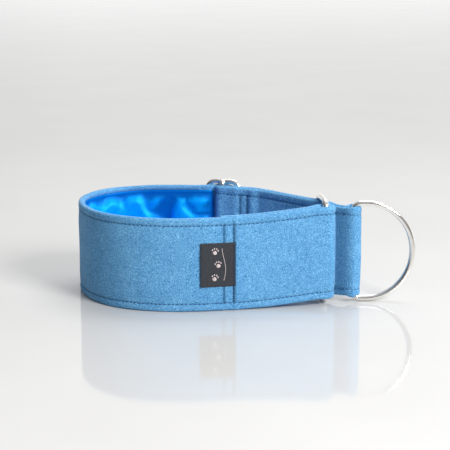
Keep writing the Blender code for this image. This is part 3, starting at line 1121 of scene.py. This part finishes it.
def label_wave(station, height):
    """How far the label stands off the suede: a little wavy, and freer at its left side."""
    wave = 0.16 * noise.noise(Vector((station / 7.0, height / 7.0, 5.0)))
    return wave + 0.35 * ease((station - 66.0) / 7.0)


def label_stitch(shape, start, end, radius):
    """A stitch on the label's face between two (station, height) places."""
    ends = []
    for station, height in (start, end):
        lift = LABEL_THREAD + label_wave(station, height)
        ends.append(world_point(station, lift, height))
    out = (plan_point(start[0], 1.0) - plan_point(start[0], 0.0)).to_3d()
    stitch(shape, *ends, out, radius * MM, 0.1 * MM)


def paw_print(shape, station, height, turn):
    """A paw print in satin stitch: one pad and four toes, turned by an angle."""
    cos, sin = math.cos(turn), math.sin(turn)

    def put(x, y, reach, radius):
        ends = []
        for a in (x - reach, x + reach):
            ends.append((station - a * cos + y * sin, height + a * sin + y * cos))
        label_stitch(shape, *ends, radius)

    for y, reach in ((-1.15, 0.75), (-0.75, 1.15), (-0.35, 1.2), (0.05, 0.95), (0.4, 0.55)):
        put(0.0, y, reach, 0.24)
    for x, y in ((-1.5, 0.75), (-0.6, 1.55), (0.6, 1.55), (1.5, 0.75)):
        put(x, y, 0.38, 0.3)
        put(x, y + 0.4, 0.3, 0.26)


def label_mesh():
    """The label as a thin sheet with a frayed edge and a face map in millimetres."""
    first, last = LABEL_STATIONS
    low, high = LABEL_HEIGHTS
    shape = bmesh.new()
    uv = shape.loops.layers.uv.new("face")
    columns, rows = 38, 48
    spots = {}
    flat = {}
    for side, offset in enumerate((LABEL_BACK, LABEL_FACE)):
        for i in range(columns + 1):
            for j in range(rows + 1):
                station = first + (last - first) * i / columns
                height = low + (high - low) * j / rows
                edge = min(i, columns - i, j, rows - j)
                fray = 0.16 * noise.noise(Vector((station * 1.4, height * 1.4, 9.0))) * (edge == 0)
                lift = offset + label_wave(station, height)
                if side:
                    lift += {0: -0.18, 1: 0.12}.get(edge, 0.0)
                    lift -= 0.3 * bump_at(station - SEAM_RIGHT, 0.5)
                spot = plan_point(station + fray, lift)
                level = lower_edge(station) + height + fray
                vertex = shape.verts.new(Vector((spot.x, spot.y, level)) * MM)
                spots[side, i, j] = vertex
                flat[vertex] = (station, height)
    for side in (0, 1):
        for i in range(columns):
            for j in range(rows):
                corners = ((i, j), (i + 1, j), (i + 1, j + 1), (i, j + 1))
                shape.faces.new([spots[side, a, b] for a, b in corners])
    ring = [(i, 0) for i in range(columns)] + [(columns, j) for j in range(rows)]
    ring += [(i, rows) for i in range(columns, 0, -1)] + [(0, j) for j in range(rows, 0, -1)]
    for a, b in zip(ring, ring[1:] + ring[:1]):
        shape.faces.new((spots[(0, *a)], spots[(0, *b)], spots[(1, *b)], spots[(1, *a)]))
    for face in shape.faces:
        for loop in face.loops:
            loop[uv].uv = flat[loop.vert]
    return mesh_of("label_cloth", shape, 50.0)


def build_label(paints):
    first, last = LABEL_STATIONS
    low, high = LABEL_HEIGHTS
    label = new_piece("label_cloth", label_mesh(), paints["label"])
    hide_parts("woven_label")
    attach(label, "neck_band")

    def on_label(share, level):
        return last - share * (last - first), low + level * (high - low)

    motif = bmesh.new()
    for share, level, turn in ((0.40, 0.20, -14.0), (0.50, 0.50, 10.0), (0.41, 0.80, -8.0)):
        paw_print(motif, *on_label(share, level), math.radians(turn))
    trail = []
    for k in range(23):
        t = k / 22.0
        trail.append(on_label(0.66 + 0.05 * math.sin(4.6 * t), 0.14 + 0.74 * t))
    for a, b in zip(trail, trail[1:]):
        label_stitch(motif, a, b, 0.15)
    tack = bmesh.new()
    inset = half = 0.75
    for k in range(10):
        middle = low + STITCH_PITCH / 2.0 + STITCH_PITCH * k
        label_stitch(tack, (first + inset, middle - half), (first + inset, middle + half), 0.2)
    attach(thread_piece("label_motif", motif, paints["motif"]), "neck_band")
    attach(thread_piece("label_stitches", tack, paints["thread"]), "neck_band")


# ---------------- metal fittings


def tube(name, points, diameter, material, body, node_name, closed=True):
    """Round wire along some points, standing for a node of the CAD."""
    data = bpy.data.curves.new(name, "CURVE")
    data.dimensions = "3D"
    data.bevel_depth = diameter / 2.0 * MM
    data.bevel_resolution = 8
    data.use_fill_caps = not closed
    spline = data.splines.new("POLY")
    spline.points.add(len(points) - 1)
    for target, point in zip(spline.points, points):
        target.co = (*(Vector(point) * MM), 1.0)
    spline.use_cyclic_u = closed
    spline.use_smooth = True
    data.materials.append(material)
    piece = bpy.data.objects.new(name, data)
    bpy.context.scene.collection.objects.link(piece)
    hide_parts(node_name)
    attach(piece, body)


def upright(outline, foot, direction, level):
    """An outline of (along, up) stood on a foot point, facing a direction."""
    along = Vector((math.cos(direction), math.sin(direction)))
    return [(*(foot + along * a), level + up) for a, up in outline]


def near_side(low, high, corner):
    """The straight side of a ring, with its two rounded corners."""
    outline = arc((corner, low + corner), corner, 270.0, 180.0, CORNER_STEPS)
    return outline + arc((corner, high - corner), corner, 180.0, 90.0, CORNER_STEPS)


def rounded_frame(length, height, corner, far_corner):
    """The center line of a rectangular ring, as (along, up)."""
    outline = near_side(0.0, height, corner)
    x = length - far_corner
    outline += arc((x, height - far_corner), far_corner, 90.0, 0.0, CORNER_STEPS)
    outline += arc((x, far_corner), far_corner, 0.0, -90.0, CORNER_STEPS)
    return outline


def build_metal(paints):
    metal = paints["metal"]
    near = plan_point(RING_BAR_STATION, -RING_END_THICKNESS - LAYER_GAP - RING_WIRE / 2.0)
    outline = rounded_frame(SLIP_RING_SPACING, RING_INNER_HEIGHT + RING_WIRE, *SLIP_RING_CORNERS)
    points = upright(outline, near, math.radians(SLIP_RING_DIRECTION), RING_WIRE / 2.0)
    tube("slip_ring_wire", points, RING_WIRE, metal, "slip_ring", "slip_ring")
    half = (LEASH_RING_HEIGHT - RING_WIRE) / 2.0
    across = LEASH_RING_DEPTH - RING_WIRE - LEASH_RING_LEG
    outline = near_side(-half, half, LEASH_RING_CORNER)
    for i in range(BOW_STEPS + 1):
        angle = math.radians(90.0 - 180.0 * i / BOW_STEPS)
        outline.append((LEASH_RING_LEG + across * math.cos(angle), half * math.sin(angle)))
    outline = [(a, up + half) for a, up in outline]
    foot = plan_point(LEASH_BAR_STATION, -CONTROL_THICKNESS - LEAF_GAP / 2.0)
    points = upright(outline, foot, route_place(LEASH_BAR_STATION)[2], RING_WIRE / 2.0)
    tube("leash_ring_wire", points, RING_WIRE, metal, "leash_ring", "leash_ring")
    length = ADJUSTER_LENGTH - ADJUSTER_WIRE
    height = ADJUSTER_INNER_HEIGHT + ADJUSTER_WIRE
    foot = plan_point(ADJUSTER_STATION - length / 2.0, adjuster_plane())
    heading = route_place(ADJUSTER_STATION)[2]
    outline = rounded_frame(length, height, ADJUSTER_CORNER, ADJUSTER_CORNER)
    points = upright(outline, foot, heading, ADJUSTER_WIRE / 2.0)
    tube("adjuster_wire", points, ADJUSTER_WIRE, metal, "slide_adjuster", "adjuster_frame")
    bend = ADJUSTER_BAR_BEND
    low = ADJUSTER_WIRE / 2.0
    near = middle_bar_offset() + bend
    side = [(adjuster_plane(), low)] + arc((near, low + bend), bend, 270.0, 180.0, 8)
    side += [(offset, height + ADJUSTER_WIRE - level) for offset, level in reversed(side)]
    points = [(*plan_point(ADJUSTER_STATION, offset), level) for offset, level in side]
    tube(
        "adjuster_middle_bar", points, ADJUSTER_WIRE, metal, "slide_adjuster", "adjuster_bar",
        closed=False,
    )


def main():
    camera()
    studio()
    paints = {
        "suede": suede_paint(),
        "satin": satin_paint(),
        "thread": thread_paint("blue_thread", (0.006, 0.035, 0.11), (0.015, 0.09, 0.24)),
        "motif": thread_paint("silver_pink_thread", (0.55, 0.46, 0.47), (0.85, 0.75, 0.76)),
        "label": label_paint(),
        "metal": metal_paint(),
    }
    build_ring_end(paints)
    build_neck(paints)
    build_control(paints)
    build_lining(paints)
    build_label(paints)
    build_metal(paints)


main()
